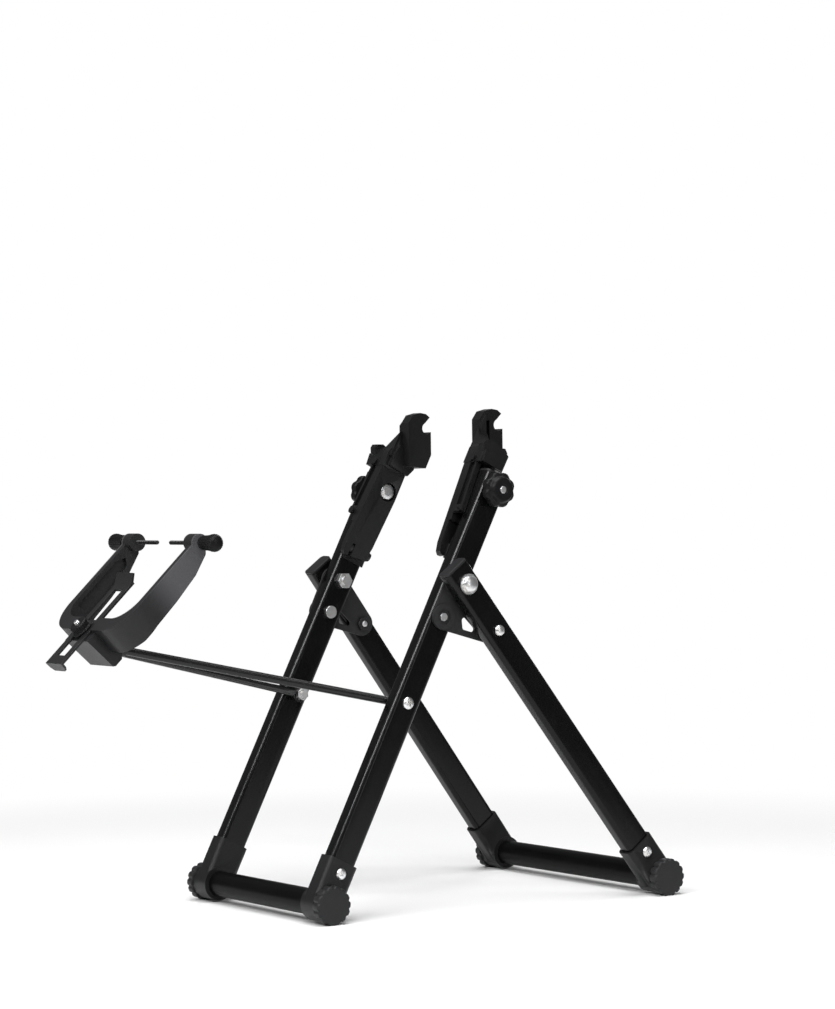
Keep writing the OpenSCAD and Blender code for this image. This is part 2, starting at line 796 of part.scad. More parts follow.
// Web and front flange of an arm, in the arm's own frame
module arm_channel() {
    difference() {
        union() {
            slab_y(-arm_skin, web_out) web_outline();
            translate([-arm_front, -arm_skin, flange_low])
                cube([arm_front - tube_depth / 2 - arm_gap, flange_out + arm_skin, web_top - flange_low]);
            translate([-arm_front, flange_out - 6, flange_low + 1]) rotate([0, -90, 0])
                cylinder(r = 3.6, h = 3);
            translate([-arm_front, flange_out - 6, web_top - 4]) rotate([0, -90, 0])
                cylinder(r = 3.6, h = 3);
        }
        translate([-arm_front - 1, flange_out - 6 - flange_groove / 2, flange_low + 6])
            cube([1 + flange_groove_deep, flange_groove, web_top - flange_low - 14]);
        translate([ear_front - ear_thick - loose, -2 * arm_skin, -2 * ear_r])
            cube([ear_thick + 2 * loose, 4 * arm_skin, 3 * ear_r]);
        translate([ear_front - ear_thick - loose, lug_relief, -saddle_half - 4])
            cube([2 * tube_depth, 2 * arm_pin_in, 2 * saddle_half + 5]);
        translate([-arm_front - 1, web_out - 3, -saddle_half])
            cube([arm_front, 2 * arm_pin_in, saddle_half + flange_low - 8]);
        translate([ear_front - 1, 0, 0]) rotate([0, 90, 0])
            cylinder(r = arm_pin_r + fit, h = tube_depth);
    }
}

// Collar over the upright's upper end, in the upright's frame, a little proud of the web
module arm_collar() {
    front = arm_front + 0.3;
    translate([0, 0, collar_low]) {
        slab_y(head_in + 8, tube_in - 18) polygon([
            [-front + 4, 1],
            [arm_rear - 3, 0],
            [arm_rear + 0.5, 8],
            [arm_rear - 2, 20],
            [-front + 6, 22],
            [-front + 4, 12]
        ]);
        slab_y(tube_in - 19, tube_in - 9) polygon([
            [-front, -1],
            [arm_rear - 3, -1],
            [arm_rear - 1, 7],
            [arm_rear - 2.5, 19],
            [-front + 3, 20],
            [-front, 14]
        ]);
        slab_y(tube_in - 10, upright_y - 6) polygon([
            [-front - 0.3, 0.3],
            [arm_rear - 3.3, 0.3],
            [arm_rear - 2, 5],
            [arm_rear - 1.8, 17],
            [-front + 3, 19],
            [-front - 0.3, 15]
        ]);
        slab_y(upright_y - 8, upright_y) polygon([
            [-front - 0.6, 0],
            [arm_rear - 4, 0],
            [arm_rear - 3.5, 16],
            [arm_rear - 7, 18],
            [-front + 2.5, 21.5],
            [-front - 3.5, 18.5],
            [-front - 4, 15],
            [-front - 0.6, 9]
        ]);
        slab_y(upright_y - 1, upright_y + 3) polygon([
            [-front, 0.3],
            [arm_rear - 6, 0.3],
            [arm_rear - 6, 9],
            [-front - 1, 11]
        ]);
        // slope from the head down to the collar
        translate([-front + 2, 0, 0]) rotate([90, 0, 90]) linear_extrude(arm_front - 6) polygon([
            [head_in + head_thick - 1, 10],
            [tube_in - 7, 10],
            [tube_in - 7, 18.5],
            [head_in + head_thick - 1, 34]
        ]);
    }
}

// Head of an arm about the axle, in line with the stand
module arm_head() {
    difference() {
        slab_y(head_in, head_in + head_thick) difference() {
            polygon([
                [-20, -34],
                [-20, 5],
                [-15, 12],
                [-7, 14],
                [-1, 13],
                [4, 9],
                [4, -24],
                [-2, -36]
            ]);
            circle(notch_r);
            rotate(90 - notch_lean) translate([0, -notch_mouth]) square([40, 2 * notch_mouth]);
        }
        translate([-15, head_in + head_thick - recess_deep, -13]) cube([recess_wide, recess_deep + 1, 17]);
    }
    slab_y(head_in + head_thick - eps, head_in + head_thick + 3)
        polygon([[-20, -30], [-20, 3], [-15, 9], [-15, -30]]);
    slab_y(head_in + head_thick - eps, head_in + head_thick + 7)
        polygon([[-20, -34], [-20, -18], [2, -21], [4, -25], [-2, -36]]);
}

module axle_arm() {
    color("#3b3b3f") difference() {
        union() {
            on_arm() arm_channel();
            on_upright() arm_collar();
            translate([axle_x, 0, axle_height]) arm_head();
        }
        on_upright(knob_up) cyl_y(width_bolt_r + 0.6, head_in, tube_in + 4);
        on_arm() translate([0, 0, knob_above_pin])
            cyl_y(width_pocket_r, -head_in, pocket_floor);
    }
}

module width_bolt() {
    head_y = pin_y + pocket_floor - knob_above_pin * sin(arm_tilt) - width_head_r * sin(arm_tilt) - 0.2;
    color("#c9cbce") on_upright(knob_up) {
        cyl_y(width_bolt_r, head_y - eps, tube_out + loose + knob_length);
        translate([0, head_y, 0]) mirror([0, 1, 0]) dome(width_head_r, width_head_h);
    }
}

module width_knob() {
    knob_in = tube_out + loose;
    color("#2a2a2c") on_upright(knob_up) difference() {
        union() {
            cyl_y(knob_face_r - knob_boss, knob_in, knob_in + 2 * knob_boss);
            slab_y(knob_in + knob_boss, knob_in + knob_length - knob_face_h) union() {
                circle(knob_r - knob_lobe_h);
                for (i = [0:knob_lobes - 1])
                    rotate(i * 360 / knob_lobes) translate([knob_r - knob_lobe_r, 0])
                        circle(knob_lobe_r);
            }
            cyl_y(knob_face_r, knob_in + knob_boss, knob_in + knob_length);
        }
        cyl_y(width_bolt_r + fit, tube_out, tube_out + knob_length + 2);
    }
}

// ---- gauge ----

// Frame of a rod, Z along it from its pivot
module on_rod() {
    at_gauge() translate([0, eye_y, 0]) rotate([0, -90 + rod_rise, 0]) rotate([rod_side, 0, 0]) children();
}

// Straight rod with an eye at its pivot and a collar where it enters the fork
module gauge_rod() {
    color("#232326") difference() {
        union() {
            at_gauge() cyl_y(rod_eye_r, eye_out - eye_thick, eye_out);
            on_rod() cylinder(r = rod_r, h = rod_length);
            on_rod() translate([0, 0, rod_length - rod_seat - collar_from_end])
                cylinder(r = collar_r, h = collar_length);
        }
        at_gauge() cyl_y(rod_bolt_r + fit, eye_out - eye_thick - 1, eye_out + 1);
        at_gauge() cyl_y(rod_nut_r + loose, eye_out - 4 * eye_thick, eye_out - eye_thick);
    }
}

module rod_bolts() {
    color("#c9cbce") for (left = [true, false])
        side(left) on_upright(gauge_up) {
            cyl_y(rod_bolt_r, eye_out - eye_thick - loose - rod_nut_h - 1, tube_out + eps);
            translate([0, tube_out, 0]) pan_screw(rod_bolt_r, 1, rod_bolt_head_r, rod_bolt_head_h);
        }
}

module rod_nuts() {
    nut_y = eye_out - eye_thick - loose;
    color("#c9cbce") for (left = [true, false])
        side(left) on_upright(gauge_up) difference() {
            hex_y(rod_nut_af, nut_y - rod_nut_h, nut_y);
            cyl_y(rod_bolt_r + fit, nut_y - rod_nut_h - 1, nut_y + 1);
        }
}

// Plan of the fork between two half widths, its back and its corner radius
module fork_plan(half, back, r, reach) {
    translate([back + r, -half]) square([reach - back - r, 2 * half]);
    translate([back, -half + r]) square([reach - back, 2 * half - 2 * r]);
    for (s = [-1, 1]) translate([back + r, s * (half - r)]) circle(r);
}

// Side view of the fork's arms
module fork_side() {
    polygon([
        [-fork_back - 1, -fork_depth],
        [-fork_back - 1, 0],
        [feeler_out - 6, 0],
        [feeler_out, feeler_boss_r - feeler_down],
        [feeler_out, -feeler_down - feeler_boss_r],
        [feeler_out - 3, -feeler_down - feeler_boss_r - 3],
        [69, -20],
        [42, -22.6],
        [15, -23.6],
        [0, -fork_depth]
    ]);
}

// Side view of the block under the fork
module block_side() {
    polygon([
        [-block_face, slider_bed],
        [-block_face + 2, -block_deep + 1.5],
        [-block_face + 4, -block_deep],
        [-12, -block_deep],
        [-4, -block_deep + 8],
        [0, -fork_depth],
        [0, slider_bed]
    ]);
}

module gauge_fork() {
    inner_half = fork_half - fork_wall;
    inner_corner = fork_corner - 8;
    color("#47474b") difference() {
        union() {
            on_fork() intersection() {
                slab_y(-fork_half - 1, fork_half + 1) fork_side();
                translate([0, 0, -2 * fork_depth]) linear_extrude(3 * fork_depth) difference() {
                    fork_plan(fork_half, -fork_back, fork_corner, feeler_out);
                    fork_plan(inner_half, 0, inner_corner, feeler_out + 1);
                }
            }
            on_fork() slab_y(-block_half, block_half) block_side();
            for (left = [true, false])
                side(left) on_fork() translate([feeler_out, 0, -feeler_down])
                    cyl_y(feeler_boss_r, feeler_boss_in, feeler_boss_out);
        }
        // channels inside the arms
        for (left = [true, false])
            side(left) on_fork() slab_y(inner_half - 1, inner_half + fork_channel)
                polygon([[16, -4], [68, -4], [76, -8], [72, -14], [44, -18], [18, -19]]);
        // bed for the slider
        on_fork() translate([-block_face - 1, -slider_half - loose, slider_bed])
            cube([block_face + 2, 2 * (slider_half + loose), 3 * slider_thick]);
        on_fork() translate([-clamp_back, 0, slider_bed - 14]) cylinder(r = clamp_r + fit, h = 20);
        for (left = [true, false]) side(left) {
            on_fork() translate([feeler_out, 0, -feeler_down])
                cyl_y(feeler_r + fit, feeler_boss_in - 1, feeler_boss_out + 1);
            on_rod() translate([0, 0, rod_length / 2])
                cylinder(r = rod_r + fit, h = rod_length / 2 + loose);
        }
    }
}

module clamp_bolt() {
    color("#c9cbce") on_fork() translate([-clamp_back, 0, slider_bed - 14 + loose])
        cylinder(r = clamp_r, h = 14 - loose + slider_thick + loose + clamp_knob_h + 1.2);
}

module clamp_knob() {
    color("#2a2a2c") on_fork() translate([-clamp_back, 0, slider_top + loose]) difference() {
        union() {
            cylinder(r = clamp_knob_r + 1.4, h = 1.4);
            cylinder(r = clamp_knob_r, h = clamp_knob_h - 1.5);
            cylinder(r = clamp_knob_r - 1.2, h = clamp_knob_h);
        }
        translate([0, 0, -1]) cylinder(r = clamp_r + fit, h = clamp_knob_h + 2);
    }
}

module feeler_screw() {
    color("#55565a") on_fork() translate([feeler_out, 0, -feeler_down]) {
        cyl_y(feeler_r, feeler_tip + 1, feeler_knob_in + 6);
        translate([0, feeler_tip + 1 + eps, 0]) rotate([90, 0, 0])
            cylinder(r1 = feeler_r, r2 = feeler_r * 0.55, h = 1);
    }
}

module feeler_knob() {
    end_y = feeler_knob_in + feeler_knob_length;
    color("#2a2a2c") on_fork() translate([feeler_out, 0, -feeler_down]) difference() {
        union() {
            cyl_y(feeler_knob_r - 1.2, feeler_knob_in, feeler_knob_in + 5);
            cyl_y(feeler_knob_r, feeler_knob_in + 4, end_y - 5);
            translate([0, end_y - 5, 0]) rotate([-90, 0, 0]) rotate_extrude() polygon([
                [0, -1],
                [feeler_knob_r, -1],
                [feeler_knob_r, 1],
                [feeler_knob_r * 0.88, 3],
                [feeler_knob_r * 0.6, 4.4],
                [0, 5]
            ]);
        }
        cyl_y(feeler_r + fit, feeler_knob_in - 1, feeler_knob_in + 6.2);
    }
}

module radial_slider() {
    color("#1f1f21") on_fork() {
        translate([0, 0, slider_bed]) linear_extrude(slider_thick) difference() {
            translate([-slider_low, -slider_half]) square([slider_low + slider_high, 2 * slider_half]);
            translate([-slider_low + slot_end, -slot_half])
                square([slider_low + slider_high - 2 * slot_end, 2 * slot_half]);
        }
        translate([-slider_low, 0, slider_bed]) rotate([0, 90, 0]) linear_extrude(slider_thick)
            polygon([
                [-slider_thick, -slider_half],
                [slider_lip * 0.5, -slider_half + 1],
                [slider_lip, -slider_half + 5],
                [slider_lip, slider_half - 5],
                [slider_lip * 0.5, slider_half - 1],
                [-slider_thick, slider_half]
            ]);
        slab_y(-slider_half, slider_half) polygon([
            [slider_high - 2, slider_bed],
            [slider_high + slider_nose, slider_bed + slider_nose],
            [slider_high + slider_nose - 1, slider_bed + slider_nose + 1.6],
            [slider_high - 4, slider_top]
        ]);
    }
}

// ---- nodes ----

side(false) upright();  // upright_right
side(true) upright();  // upright_left
side(false) upright_plug();  // upright_plug_right
side(true) upright_plug();  // upright_plug_left
translate([front_x, 0, foot_z]) crossbar(front_bar);  // front_crossbar
side(false) front_corner();  // front_corner_right
side(true) front_corner();  // front_corner_left
side(false) front_foot();  // front_foot_right
side(true) front_foot();  // front_foot_left
front_corner_screws();
side(false) hinge_plate();  // hinge_plate_right
side(true) hinge_plate();  // hinge_plate_left
pivot_bolts();
pivot_nuts();
plate_bolts();
lock_nuts();
side(false) arm_saddle();  // arm_saddle_right
side(true) arm_saddle();  // arm_saddle_left
arm_pins();
rod_bolts();
rod_nuts();
side(false) leg();  // leg_right
side(true) leg();  // leg_left
side(false) leg_cap();  // leg_cap_right
side(true) leg_cap();  // leg_cap_left
translate([rear_x, 0, foot_z]) crossbar(rear_bar);  // rear_crossbar
side(false) rear_corner();  // rear_corner_right
side(true) rear_corner();  // rear_corner_left
side(false) rear_foot();  // rear_foot_right
side(true) rear_foot();  // rear_foot_left
rear_corner_screws();
lock_bolts();
side(false) axle_arm();  // axle_arm_right
side(true) axle_arm();  // axle_arm_left
side(false) width_bolt();  // width_bolt_right
side(true) width_bolt();  // width_bolt_left
side(false) width_knob();  // width_knob_right
side(true) width_knob();  // width_knob_left
side(false) gauge_rod();  // gauge_rod_right
side(true) gauge_rod();  // gauge_rod_left
gauge_fork();
clamp_bolt();
side(false) feeler_screw();  // feeler_screw_right
side(true) feeler_screw();  // feeler_screw_left
side(false) feeler_knob();  // feeler_knob_right
side(true) feeler_knob();  // feeler_knob_left
radial_slider();
clamp_knob();
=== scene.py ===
"""Looks of the truing stand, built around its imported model."""

import json
import math

import bmesh
import bpy
from bpy.props import FloatProperty, FloatVectorProperty, IntProperty, PointerProperty
from mathutils import Matrix, Vector


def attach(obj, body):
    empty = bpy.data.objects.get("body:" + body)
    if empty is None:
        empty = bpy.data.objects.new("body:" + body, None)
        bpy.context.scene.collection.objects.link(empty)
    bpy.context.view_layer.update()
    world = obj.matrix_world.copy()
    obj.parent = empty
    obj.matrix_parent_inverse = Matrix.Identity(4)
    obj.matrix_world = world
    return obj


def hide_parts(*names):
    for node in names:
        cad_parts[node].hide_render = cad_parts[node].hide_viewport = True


bl_info = {
    "name": "Truing stand",
    "version": (1, 0, 0),
    "blender": (4, 5, 0),
    "location": "View3D > Sidebar > Truing stand",
    "description": "Dresses the packed truing stand with its finishes and fine shapes",
    "category": "Object",
}

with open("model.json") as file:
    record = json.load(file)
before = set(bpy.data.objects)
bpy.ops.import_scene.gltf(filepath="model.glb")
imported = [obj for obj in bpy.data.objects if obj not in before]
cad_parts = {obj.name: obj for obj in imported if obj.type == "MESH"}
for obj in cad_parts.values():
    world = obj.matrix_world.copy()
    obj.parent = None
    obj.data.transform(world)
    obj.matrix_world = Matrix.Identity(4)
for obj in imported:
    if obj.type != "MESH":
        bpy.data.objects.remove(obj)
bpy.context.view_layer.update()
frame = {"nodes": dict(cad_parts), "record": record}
CAD = frame["nodes"]
BODIES = frame["record"]["behaviour"]["bodies"]
BODY_OF = {node: body for body, members in BODIES.items() for node in members}
SLOT_OF = {part["node"]: part["material_slot"] for part in frame["record"]["subparts"]}
SIDES = ("right", "left")
MM = 0.001

# Welding distances in metres: near points of a new mesh, and of a node's loose triangles
WELD = 1e-6
NODE_WELD = 2e-6


# ---- settings ----

class FinishSettings(bpy.types.PropertyGroup):
    """Colours of the stand's finishes"""

    paint: FloatVectorProperty(
        name="Paint", description="Gloss paint on the tubes and crossbars",
        subtype="COLOR", size=3, min=0, max=1, default=(0.0028, 0.0028, 0.003))
    corner: FloatVectorProperty(
        name="Corner pieces", description="Grained plastic of the corner pieces",
        subtype="COLOR", size=3, min=0, max=1, default=(0.010, 0.010, 0.0105))
    foot: FloatVectorProperty(
        name="Foot caps", description="Plastic of the scalloped foot caps",
        subtype="COLOR", size=3, min=0, max=1, default=(0.016, 0.016, 0.017))
    cap: FloatVectorProperty(
        name="End caps", description="Plastic caps on the tube ends",
        subtype="COLOR", size=3, min=0, max=1, default=(0.014, 0.014, 0.015))
    plate: FloatVectorProperty(
        name="Hinge plates", description="Moulded plates between uprights and legs",
        subtype="COLOR", size=3, min=0, max=1, default=(0.019, 0.019, 0.02))
    arm: FloatVectorProperty(
        name="Axle arms", description="Moulded plastic of the axle arms",
        subtype="COLOR", size=3, min=0, max=1, default=(0.0045, 0.0045, 0.0048))
    fork: FloatVectorProperty(
        name="Gauge fork", description="Moulded plastic of the gauge fork",
        subtype="COLOR", size=3, min=0, max=1, default=(0.014, 0.014, 0.015))
    knob: FloatVectorProperty(
        name="Knobs", description="Plastic of all the knobs",
        subtype="COLOR", size=3, min=0, max=1, default=(0.006, 0.006, 0.0065))
    zinc: FloatVectorProperty(
        name="Zinc plating", description="Bright bolts, nuts and screws",
        subtype="COLOR", size=3, min=0, max=1, default=(0.80, 0.81, 0.83))
    dark_steel: FloatVectorProperty(
        name="Dark steel", description="Blackened brackets, pins and slider",
        subtype="COLOR", size=3, min=0, max=1, default=(0.011, 0.011, 0.0118))


class ShapeSettings(bpy.types.PropertyGroup):
    """Fine shapes that the finishes stand on"""

    moulded_edge: FloatProperty(
        name="Moulded edge", description="Rounding along the edges of moulded pieces",
        subtype="DISTANCE", unit="LENGTH", min=0, max=0.002, default=0.0006)
    sheet_edge: FloatProperty(
        name="Sheet edge", description="Rounding along the edges of sheet and bar pieces",
        subtype="DISTANCE", unit="LENGTH", min=0, max=0.001, default=0.0003)
    foot_scallops: IntProperty(
        name="Foot scallops", description="Scallops around each foot cap",
        min=8, max=20, default=14)
    scallop_depth: FloatProperty(
        name="Scallop depth", description="Depth of the scallops in the foot caps",
        subtype="DISTANCE", unit="LENGTH", min=0, max=0.002, default=0.0013)
    width_lobes: IntProperty(
        name="Width knob lobes", description="Lobes around each width knob",
        min=5, max=10, default=8)
    feeler_ribs: IntProperty(
        name="Feeler knob ribs", description="Fine ribs around each feeler knob",
        min=12, max=40, default=26)
    clamp_ribs: IntProperty(
        name="Clamp knob ribs", description="Fine ribs around the clamp knob",
        min=12, max=40, default=24)
    thread_pitch: FloatProperty(
        name="Feeler thread pitch", description="Pitch of the feeler screws' threads",
        subtype="DISTANCE", unit="LENGTH", min=0.0004, max=0.0015, default=0.0007)


# ---- node trees as expressions ----

class Wire:
    """One output of a node tree, with arithmetic that adds Math nodes."""

    def __init__(self, tree, socket):
        self.tree = tree
        self.socket = socket

    def math(self, operation, *values):
        return self.tree.add("ShaderNodeMath", {"operation": operation}, dict(enumerate(values)))

    def __add__(self, other):
        return self.math("ADD", self, other)

    def __radd__(self, other):
        return self.math("ADD", other, self)

    def __sub__(self, other):
        return self.math("SUBTRACT", self, other)

    def __rsub__(self, other):
        return self.math("SUBTRACT", other, self)

    def __mul__(self, other):
        return self.math("MULTIPLY", self, other)

    def __rmul__(self, other):
        return self.math("MULTIPLY", other, self)

    def __truediv__(self, other):
        return self.math("DIVIDE", self, other)

    def __rtruediv__(self, other):
        return self.math("DIVIDE", other, self)

    def __pow__(self, other):
        return self.math("POWER", self, other)

    def __rpow__(self, other):
        return self.math("POWER", other, self)

    def cosine(self):
        return self.math("COSINE", self)

    def sine(self):
        return self.math("SINE", self)

    def lesser(self, other):
        return self.math("MINIMUM", self, other)

    def rounded(self):
        return self.math("ROUND", self)

    def parts(self):
        """The three numbers of a vector"""
        node = self.tree.add("ShaderNodeSeparateXYZ", None, {0: self})
        return node, node.output("Y"), node.output("Z")

    def above(self, low, high):
        """0 below low, 1 above high and smooth between"""
        return self.tree.add(
            "ShaderNodeMapRange", {"interpolation_type": "SMOOTHSTEP"},
            {"Value": self, "From Min": low, "From Max": high})

    def output(self, name):
        """Another output of the same node"""
        return Wire(self.tree, self.socket.node.outputs[name])


class Tree:
    """A node tree that is written through one method."""

    def __init__(self, nodes_and_links):
        self.nodes = nodes_and_links.nodes
        self.links = nodes_and_links.links

    def add(self, kind, settings=None, values=None, out=0):
        """A node by its type, its settings, and the values or links of its sockets"""
        node = self.nodes.new(kind)
        for name, value in (settings or {}).items():
            setattr(node, name, value)
        for key, value in (values or {}).items():
            socket = node.inputs[key]
            if isinstance(value, Wire):
                self.links.new(value.socket, socket)
            elif isinstance(value, (list, tuple)) and isinstance(value[0], Wire):
                for wire in value:
                    self.links.new(wire.socket, socket)
            else:
                socket.default_value = value
        return Wire(self, node.outputs[out]) if node.outputs else None


# ---- finishes ----

def grey(value):
    return (value, value, value, 1)


def colour4(colour, scale=1.0):
    return (*[min(1.0, channel * scale) for channel in colour], 1)


class Finish(Tree):
    """A material whose colour, roughness and relief vary over the piece."""

    def __init__(self, name):
        self.material = bpy.data.materials.new(name)
        self.material.use_nodes = True
        super().__init__(self.material.node_tree)
        self.nodes.clear()
        self.place = self.add("ShaderNodeTexCoord", out="Object")

    def noise(self, scale, detail=2.0, rough=0.5, stretch=None):
        place = self.place
        if stretch:
            place = self.add("ShaderNodeMapping", None, {"Vector": place, "Scale": stretch})
        return self.add(
            "ShaderNodeTexNoise", None,
            {"Vector": place, "Scale": scale, "Detail": detail, "Roughness": rough}, out="Fac")

    def cells(self, scale):
        return self.add(
            "ShaderNodeTexVoronoi", None, {"Vector": self.place, "Scale": scale}, out="Distance")

    def blend(self, factor, first, second):
        return self.add(
            "ShaderNodeMix", {"data_type": "RGBA"},
            {"Factor": factor, 6: first, 7: second}, out=2)

    def relief(self, height, depth, strength):
        return self.add(
            "ShaderNodeBump", None,
            {"Height": height, "Distance": depth, "Strength": strength}, out="Normal")

    def close(self, **sockets):
        """Ends the tree in a shader whose sockets are named with _ for their spaces"""
        shader = self.add(
            "ShaderNodeBsdfPrincipled", None,
            {key.replace("_", " "): value for key, value in sockets.items()}, out="BSDF")
        self.add("ShaderNodeOutputMaterial", None, {"Surface": shader})
        return self.material


def paint_finish(name, colour, roughness=0.16, gloss=0.17):
    """Gloss paint on drawn tube, faintly rippled, with thin dust and rub marks"""
    finish = Finish(name)
    ripple = finish.noise(420, 2)
    dust = finish.noise(34, 6, 0.65)
    rubs = finish.noise(60, 4, 0.6, stretch=(1, 1, 0.22)).above(0.58, 0.74)
    tone = finish.blend(dust.above(0.42, 0.78) * 0.3, colour4(colour), colour4(colour, 2.2))
    shade = finish.blend(rubs * 0.2, tone, colour4(colour, 3))
    return finish.close(
        Base_Color=shade, Roughness=roughness + dust * 0.1 + rubs * 0.12,
        Specular_IOR_Level=gloss, Coat_Weight=gloss * 0.6, Coat_Roughness=0.06,
        Normal=finish.relief(ripple, 0.00004, 0.25))


def moulded_finish(name, colour, grain, depth, roughness, gloss, painted_highlight=None):
    """Injection moulded plastic with a fine spark grain, and a painted highlight where a mask is
    given
    """
    # The last tone lightens the colour for a painted highlight.
    flow_tone, grain_tone, painted_highlight_tone = 1.8, 2.7, 5.4
    finish = Finish(name)
    spark = finish.noise(grain, 3, 0.6)
    pits = finish.cells(grain * 0.55)
    flow = finish.noise(22, 4, 0.6)
    tone = finish.blend(flow.above(0.35, 0.75) * 0.5, colour4(colour), colour4(colour, flow_tone))
    shade = finish.blend(spark.above(0.55, 0.8) * 0.3, tone, colour4(colour, grain_tone))
    # Painted highlight: where the mask is 1, the colour is lightened to stand for a lamp's
    # reflection.
    if painted_highlight:
        shade = finish.blend(painted_highlight(finish), shade, colour4(colour, painted_highlight_tone))
    grained = finish.relief(spark + pits * 0.6, depth, 0.7)
    return finish.close(
        Base_Color=shade, Roughness=roughness - 0.06 + flow * 0.14 + spark * 0.04,
        Specular_IOR_Level=gloss, Normal=grained)


def fork_tip_highlight(finish):
    """Mask of a painted highlight: 1 on the outer faces of the gauge fork's arms towards their
    tips, 0 on the rest of it
    """
    root_x, root_z = -0.235, 0.256
    aim_x, aim_z = 0.72, 0.69
    channel_floor, outer_face = 0.0584, 0.0602
    x, y, z = finish.place.parts()
    reach = (x - root_x) * aim_x + (z - root_z) * aim_z
    outside = (y * y).above(channel_floor ** 2, outer_face ** 2)
    return reach.above(0.02, 0.054) * outside


def plated_finish(name, colour, roughness=0.24):
    """Zinc plated steel with faint drawing marks and a patchy passivation"""
    finish = Finish(name)
    patches = finish.noise(260, 3, 0.6)
    scratches = finish.noise(900, 3, 0.7, stretch=(1, 0.1, 1))
    warm = (colour[0] * 0.93, colour[1] * 0.9, colour[2] * 0.84)
    shade = finish.blend(patches.above(0.35, 0.7), colour4(colour), colour4(warm))
    return finish.close(
        Base_Color=shade, Metallic=1.0, Roughness=roughness + patches * 0.16,
        Normal=finish.relief(scratches, 0.00002, 0.6))


def blackened_finish(name, colour, roughness, scuff=0.25):
    """Blackened steel, satin, with bare scuffs where it rubs"""
    finish = Finish(name)
    flow = finish.noise(48, 5, 0.65)
    scuffs = finish.noise(180, 4, 0.7, stretch=(1, 1, 0.3)).above(0.62, 0.76)
    shade = finish.blend(scuffs * scuff, colour4(colour), colour4(colour, 6))
    return finish.close(
        Base_Color=shade, Roughness=roughness - 0.05 + flow * 0.14,
        Specular_IOR_Level=0.35, Coat_Weight=0.1, Coat_Roughness=0.12,
        Normal=finish.relief(finish.noise(700, 2), 0.00003, 0.4))


def make_finishes(colours):
    """All finishes by the name of their slot"""
    return {
        "frame_paint": paint_finish("frame_paint", colours.paint),
        "crossbar_paint": paint_finish("crossbar_paint", colours.paint, 0.26, 0.05),
        # Moulded plastics: grain, its depth in metres, roughness, gloss
        "corner_plastic": moulded_finish(
            "corner_plastic", colours.corner, 1300, 0.00005, 0.34, 0.2),
        "foot_plastic": moulded_finish("foot_plastic", colours.foot, 1600, 0.00005, 0.42, 0.22),
        "cap_plastic": moulded_finish("cap_plastic", colours.cap, 1900, 0.00003, 0.4, 0.22),
        "plate_plastic": moulded_finish(
            "plate_plastic", colours.plate, 1500, 0.00005, 0.46, 0.24),
        "arm_plastic": moulded_finish("arm_plastic", colours.arm, 1700, 0.00003, 0.3, 0.4),
        # The fork's plastic has a painted highlight on its outer faces towards the tips.
        "fork_plastic": moulded_finish(
            "fork_plastic", colours.fork, 1700, 0.00004, 0.4, 0.26, fork_tip_highlight),
        "knob_plastic": moulded_finish("knob_plastic", colours.knob, 2000, 0.00003, 0.32, 0.13),
        "zinc_steel": plated_finish("zinc_steel", colours.zinc),
        "bracket_steel": blackened_finish("bracket_steel", colours.dark_steel, 0.4),
        "rod_steel": blackened_finish("rod_steel", colours.paint, 0.24, 0.12),
        "slider_steel": blackened_finish("slider_steel", colours.dark_steel, 0.42, 0.35),
        "pin_steel": blackened_finish("pin_steel", colours.dark_steel, 0.3, 0.3),
    }


FINISHES = {}


# ---- meshes ----

def object_of(name, mesh):
    made = bpy.data.objects.new(name, mesh)
    bpy.context.scene.collection.objects.link(made)
    return made


def mesh_from(shape, name):
    """A mesh with what a bmesh holds, which is freed"""
    mesh = bpy.data.meshes.new(name)
    shape.to_mesh(mesh)
    shape.free()
    return mesh


def settle(piece):
    """Applies the modifiers of a piece to its mesh"""
    graph = bpy.context.evaluated_depsgraph_get()
    graph.update()
    mesh = bpy.data.meshes.new_from_object(piece.evaluated_get(graph))
    old = piece.data
    piece.modifiers.clear()
    piece.data = mesh
    bpy.data.meshes.remove(old)
    return piece


def smooth(mesh, degrees):
    mesh.shade_smooth()
    mesh.set_sharp_from_angle(angle=math.radians(degrees))


def paint_piece(piece, slot_name):
    piece.data.materials.clear()
    piece.data.materials.append(FINISHES[slot_name])
    for face in piece.data.polygons:
        face.material_index = 0


def keep(piece, node):
    """A finished piece takes its body from the node that it stands for, and the node is hidden"""
    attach(piece, BODY_OF[node])
    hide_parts(node)


def merged_copy(node):
    """A welded copy of a node's mesh, its flat faces joined"""
    flat = math.radians(0.3)
    shape = bmesh.new()
    shape.from_mesh(CAD[node].data)
    bmesh.ops.remove_doubles(shape, verts=shape.verts, dist=NODE_WELD)
    bmesh.ops.dissolve_limit(
        shape, angle_limit=flat, use_dissolve_boundaries=False,
        verts=shape.verts, edges=shape.edges, delimit={"NORMAL"})
    return mesh_from(shape, node)


def round_edges(piece, edge):
    """Rounds the edges of a piece that are sharper than a fold of its curves"""
    sharp = 32
    smooth(piece.data, sharp)
    bevel = piece.modifiers.new("edge", "BEVEL")
    bevel.width = edge
    bevel.segments = 2
    bevel.limit_method = "ANGLE"
    bevel.angle_limit = math.radians(sharp)
    bevel.use_clamp_overlap = True
    bevel.harden_normals = True
    bevel.miter_outer = "MITER_ARC"
    settle(piece)


def softened(node, edge):
    """A node's shape with rounded edges, which stands for the node"""
    piece = object_of(node + "_skin", merged_copy(node))
    round_edges(piece, edge)
    paint_piece(piece, SLOT_OF[node])
    keep(piece, node)


# ---- shapes grown by geometry trees ----

